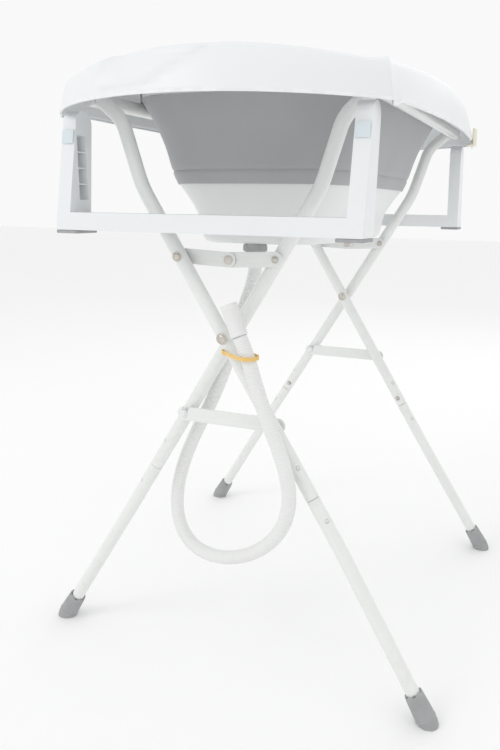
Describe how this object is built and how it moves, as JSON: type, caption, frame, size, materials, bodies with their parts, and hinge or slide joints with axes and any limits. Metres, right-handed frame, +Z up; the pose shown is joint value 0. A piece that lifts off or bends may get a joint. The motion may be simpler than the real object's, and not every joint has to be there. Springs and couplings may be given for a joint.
{
  "type": "folding baby bath on stand",
  "caption": "Collapsible baby bath with a wide changing-height rim on a folding X-frame steel stand, with fold-in end frames and a looped drain hose.",
  "frame": {"origin": "on the floor, under the middle of the bath", "axes": "+Z up, +Y along the bath's long side away from the drain end, +X across the bath to the right seen from the drain end"},
  "size_m": [0.6338, 0.816, 0.838],
  "materials": {
    "enamel": "glossy white stove enamel on steel tube and strip",
    "white_plastic": "satin white moulded plastic",
    "soft_grey": "matte grey soft rubber",
    "pan_white": "satin off-white plastic",
    "plug_grey": "matte grey rubber",
    "rubber_grey": "matte mid-grey rubber",
    "nickel": "bright nickel plate",
    "hose_white": "ribbed off-white flexible plastic",
    "band_orange": "orange-yellow elastic",
    "insert_blue": "pale blue-grey plastic",
    "clip_cream": "cream plastic"
  },
  "bodies": {
    "frame_1": {"leg_a_upper": "enamel", "leg_a_lower": "enamel", "leg_c_upper": "enamel", "leg_c_lower": "enamel", "top_rail_1": "enamel", "foot_cap_a": "rubber_grey", "foot_cap_c": "rubber_grey", "link_rivet_a": "nickel", "link_rivet_c": "nickel", "strut_rivet_a": "nickel", "strut_rivet_c": "nickel", "cross_bolt_front": "nickel", "cross_bolt_rear": "nickel", "hose_band": "band_orange", "hose_cuff": "hose_white", "drain_hose": "hose_white", "hose_coupling": "rubber_grey"},
    "frame_2": {"leg_b_upper": "enamel", "leg_b_lower": "enamel", "leg_d_upper": "enamel", "leg_d_lower": "enamel", "top_rail_2": "enamel", "foot_cap_b": "rubber_grey", "foot_cap_d": "rubber_grey", "link_rivet_b": "nickel", "link_rivet_d": "nickel", "catch_pin_b": "white_plastic", "catch_pin_d": "white_plastic"},
    "link_front_left": {"link_front_left": "enamel", "middle_rivet_front_front": "nickel"},
    "link_front_right": {"link_front_right": "enamel", "middle_rivet_front_back": "nickel"},
    "link_rear_left": {"link_rear_left": "enamel", "middle_rivet_rear_front": "nickel"},
    "link_rear_right": {"link_rear_right": "enamel", "middle_rivet_rear_back": "nickel"},
    "strut_front": {"strut_front": "enamel"},
    "strut_rear": {"strut_rear": "enamel"},
    "button_a": {"snap_button_a": "nickel"},
    "button_b": {"snap_button_b": "nickel"},
    "button_c": {"snap_button_c": "nickel"},
    "button_d": {"snap_button_d": "nickel"},
    "bath": {"bath_rim": "white_plastic", "soft_wall": "soft_grey", "rail_saddle_left": "rubber_grey", "rail_saddle_right": "rubber_grey", "rim_clip": "clip_cream"},
    "pan": {"base_pan": "pan_white"},
    "plug": {"drain_plug": "plug_grey"},
    "end_frame_front": {"end_frame_front": "white_plastic", "post_latch_front_left": "insert_blue", "post_latch_front_right": "insert_blue", "bar_pad_front_left": "rubber_grey", "bar_pad_front_right": "rubber_grey"},
    "end_frame_rear": {"end_frame_rear": "white_plastic", "post_latch_rear_left": "insert_blue", "post_latch_rear_right": "insert_blue", "bar_pad_rear_left": "rubber_grey", "bar_pad_rear_right": "rubber_grey"}
  },
  "joints": [
    {"name": "bath_lift", "type": "slide", "parent": "frame_1", "child": "bath", "axis": [0, 0, 1], "range_m": [0, 1.2]},
    {"name": "stand_fold", "type": "hinge", "parent": "frame_1", "child": "frame_2", "pos_m": [0, 0, 0.492], "axis": [0, -1, 0], "range_deg": [0, 56], "deforming": ["drain_hose"]},
    {"name": "link_front_left_fold", "type": "hinge", "parent": "frame_1", "child": "link_front_left", "pos_m": [-0.06531, -0.258, 0.597], "axis": [0, 1, 0], "range_deg": [0, 52.1]},
    {"name": "link_front_right_fold", "type": "hinge", "parent": "frame_2", "child": "link_front_right", "pos_m": [0.06531, -0.258, 0.597], "axis": [0, -1, 0], "range_deg": [0, 52.1]},
    {"name": "strut_front_drop", "type": "hinge", "parent": "frame_1", "child": "strut_front", "pos_m": [0.07277, -0.258, 0.375], "axis": [0, -1, 0], "range_deg": [0, 122.1]},
    {"name": "link_rear_left_fold", "type": "hinge", "parent": "frame_1", "child": "link_rear_left", "pos_m": [-0.06531, 0.258, 0.597], "axis": [0, 1, 0], "range_deg": [0, 52.1]},
    {"name": "link_rear_right_fold", "type": "hinge", "parent": "frame_2", "child": "link_rear_right", "pos_m": [0.06531, 0.258, 0.597], "axis": [0, -1, 0], "range_deg": [0, 52.1]},
    {"name": "strut_rear_drop", "type": "hinge", "parent": "frame_1", "child": "strut_rear", "pos_m": [0.07277, 0.258, 0.375], "axis": [0, -1, 0], "range_deg": [0, 122.1]},
    {"name": "pan_rise", "type": "slide", "parent": "bath", "child": "pan", "axis": [0, 0, 1], "range_m": [0, 0.1435], "deforming": ["soft_wall"]},
    {"name": "end_frame_front_fold", "type": "hinge", "parent": "bath", "child": "end_frame_front", "pos_m": [0, -0.3035, 0.763], "axis": [1, 0, 0], "range_deg": [0, 45.2]},
    {"name": "end_frame_rear_fold", "type": "hinge", "parent": "bath", "child": "end_frame_rear", "pos_m": [0, 0.3035, 0.763], "axis": [-1, 0, 0], "range_deg": [0, 45.2]},
    {"name": "plug_lift", "type": "slide", "parent": "pan", "child": "plug", "axis": [0, 0, 1], "range_m": [0, 0.04]},
    {"name": "button_a_press", "type": "slide", "parent": "frame_1", "child": "button_a", "axis": [0, -1, 0], "range_m": [0, 0.0022], "stiffness_N_per_m": 400},
    {"name": "button_b_press", "type": "slide", "parent": "frame_2", "child": "button_b", "axis": [0, -1, 0], "range_m": [0, 0.0022], "stiffness_N_per_m": 400},
    {"name": "button_c_press", "type": "slide", "parent": "frame_1", "child": "button_c", "axis": [0, 1, 0], "range_m": [0, 0.0022], "stiffness_N_per_m": 400},
    {"name": "button_d_press", "type": "slide", "parent": "frame_2", "child": "button_d", "axis": [0, 1, 0], "range_m": [0, 0.0022], "stiffness_N_per_m": 400}
  ],
  "couplings": [
    {"joint": "stand_fold", "follows": "bath_lift", "rad_per_m": 0.81158},
    {"joint": "link_front_left_fold", "follows": "bath_lift", "rad_per_m": 0.75486},
    {"joint": "link_front_right_fold", "follows": "bath_lift", "rad_per_m": 0.75486},
    {"joint": "strut_front_drop", "follows": "bath_lift", "rad_per_m": 1.773},
    {"joint": "link_rear_left_fold", "follows": "bath_lift", "rad_per_m": 0.75486},
    {"joint": "link_rear_right_fold", "follows": "bath_lift", "rad_per_m": 0.75486},
    {"joint": "strut_rear_drop", "follows": "bath_lift", "rad_per_m": 1.773},
    {"joint": "pan_rise", "follows": "bath_lift", "ratio": 0.11917},
    {"joint": "end_frame_front_fold", "follows": "bath_lift", "rad_per_m": 0.6545},
    {"joint": "end_frame_rear_fold", "follows": "bath_lift", "rad_per_m": 0.6545}
  ]
}
